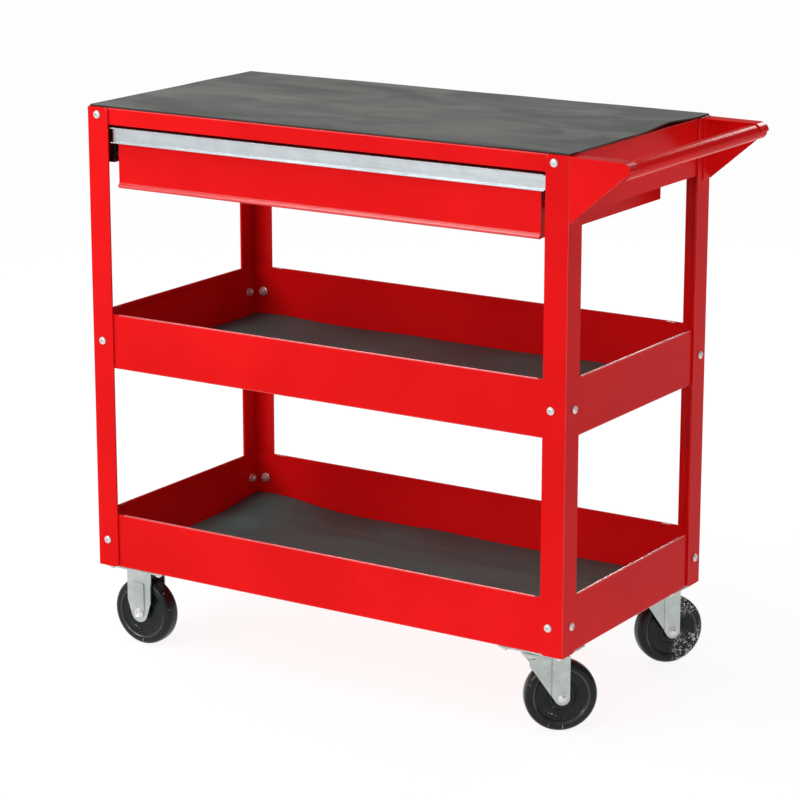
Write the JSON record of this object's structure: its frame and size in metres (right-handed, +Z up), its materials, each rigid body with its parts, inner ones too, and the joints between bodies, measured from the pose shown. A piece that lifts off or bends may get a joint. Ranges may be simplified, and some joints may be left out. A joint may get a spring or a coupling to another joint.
{
  "type": "rolling tool cart",
  "caption": "Open rolling tool cart with a matted top, a full-width drawer under it, deep trays on angle posts, a push bar at one end, and fixed and swivel casters.",
  "frame": {"origin": "on the floor, under the middle of the cart's bounding box", "axes": "+X towards the push-handle end, -Y towards the side the drawer opens to, +Z up"},
  "size_m": [0.9161, 0.4526, 0.8429],
  "materials": {
    "red_paint": "gloss powder coat",
    "rubber_mat": "matt, dusty",
    "aluminium": "satin anodised",
    "zinc_plate": "satin",
    "bright_steel": "bright",
    "slide_steel": "dark zinc",
    "wheel_polymer": "semi-gloss"
  },
  "bodies": {
    "cart": {"post_front_left": "red_paint", "post_front_right": "red_paint", "post_rear_left": "red_paint", "post_rear_right": "red_paint", "top_panel": "red_paint", "middle_tray": "red_paint", "bottom_tray": "red_paint", "top_mat": "rubber_mat", "middle_mat": "rubber_mat", "bottom_mat": "rubber_mat", "handle_bracket_front": "red_paint", "handle_bracket_rear": "red_paint", "handle_bar": "red_paint", "slide_support_left": "slide_steel", "slide_support_right": "slide_steel", "slide_outer_left": "slide_steel", "slide_outer_right": "slide_steel", "rigid_bracket_front": "zinc_plate", "rigid_bracket_rear": "zinc_plate", "rigid_axle_front": "bright_steel", "rigid_axle_rear": "bright_steel", "swivel_plate_front": "zinc_plate", "swivel_plate_rear": "zinc_plate", "king_pin_front": "bright_steel", "king_pin_rear": "bright_steel", "bolt_front_left_bottom_long": "bright_steel", "bolt_front_left_bottom_end": "bright_steel", "bolt_front_left_middle_long": "bright_steel", "bolt_front_left_middle_end": "bright_steel", "bolt_front_left_top_long": "bright_steel", "bolt_front_right_bottom_long": "bright_steel", "bolt_front_right_bottom_end": "bright_steel", "bolt_front_right_middle_long": "bright_steel", "bolt_front_right_middle_end": "bright_steel", "bolt_front_right_top_long": "bright_steel", "bolt_rear_left_bottom_long": "bright_steel", "bolt_rear_left_bottom_end": "bright_steel", "bolt_rear_left_middle_long": "bright_steel", "bolt_rear_left_middle_end": "bright_steel", "bolt_rear_left_top_long": "bright_steel", "bolt_rear_right_bottom_long": "bright_steel", "bolt_rear_right_bottom_end": "bright_steel", "bolt_rear_right_middle_long": "bright_steel", "bolt_rear_right_middle_end": "bright_steel", "bolt_rear_right_top_long": "bright_steel"},
    "drawer": {"drawer_box": "red_paint", "drawer_front": "red_paint", "drawer_pull": "aluminium", "slide_inner_left": "slide_steel", "slide_inner_right": "slide_steel"},
    "slide_left": {"slide_middle_left": "slide_steel"},
    "slide_right": {"slide_middle_right": "slide_steel"},
    "wheel_rigid_front": {"rigid_wheel_front": "wheel_polymer"},
    "wheel_rigid_rear": {"rigid_wheel_rear": "wheel_polymer"},
    "swivel_front": {"swivel_fork_front": "zinc_plate", "swivel_axle_front": "bright_steel"},
    "swivel_rear": {"swivel_fork_rear": "zinc_plate", "swivel_axle_rear": "bright_steel"},
    "wheel_swivel_front": {"swivel_wheel_front": "wheel_polymer"},
    "wheel_swivel_rear": {"swivel_wheel_rear": "wheel_polymer"}
  },
  "joints": [
    {"name": "drawer_slide", "type": "slide", "parent": "cart", "child": "drawer", "axis": [0, -1, 0], "range_m": [0, 0.32]},
    {"name": "slide_left_travel", "type": "slide", "parent": "cart", "child": "slide_left", "axis": [0, -1, 0], "range_m": [0, 0.16]},
    {"name": "slide_right_travel", "type": "slide", "parent": "cart", "child": "slide_right", "axis": [0, -1, 0], "range_m": [0, 0.16]},
    {"name": "rigid_front_spin", "type": "hinge", "parent": "cart", "child": "wheel_rigid_front", "pos_m": [-0.39645, -0.18066, 0.053], "axis": [0, 1, 0], "continuous": true},
    {"name": "rigid_rear_spin", "type": "hinge", "parent": "cart", "child": "wheel_rigid_rear", "pos_m": [-0.39645, 0.15534, 0.053], "axis": [0, 1, 0], "continuous": true},
    {"name": "front_swivel", "type": "hinge", "parent": "cart", "child": "swivel_front", "pos_m": [0.30755, -0.18066, 0.053], "axis": [0, 0, 1], "continuous": true},
    {"name": "rear_swivel", "type": "hinge", "parent": "cart", "child": "swivel_rear", "pos_m": [0.30755, 0.15534, 0.053], "axis": [0, 0, 1], "continuous": true},
    {"name": "swivel_front_spin", "type": "hinge", "parent": "swivel_front", "child": "wheel_swivel_front", "pos_m": [0.329, -0.16266, 0.053], "axis": [-0.6428, 0.766, 0], "continuous": true},
    {"name": "swivel_rear_spin", "type": "hinge", "parent": "swivel_rear", "child": "wheel_swivel_rear", "pos_m": [0.32479, 0.1774, 0.053], "axis": [-0.788, 0.6157, 0], "continuous": true}
  ],
  "couplings": [
    {"joint": "slide_left_travel", "follows": "drawer_slide", "ratio": 0.5},
    {"joint": "slide_right_travel", "follows": "drawer_slide", "ratio": 0.5}
  ]
}
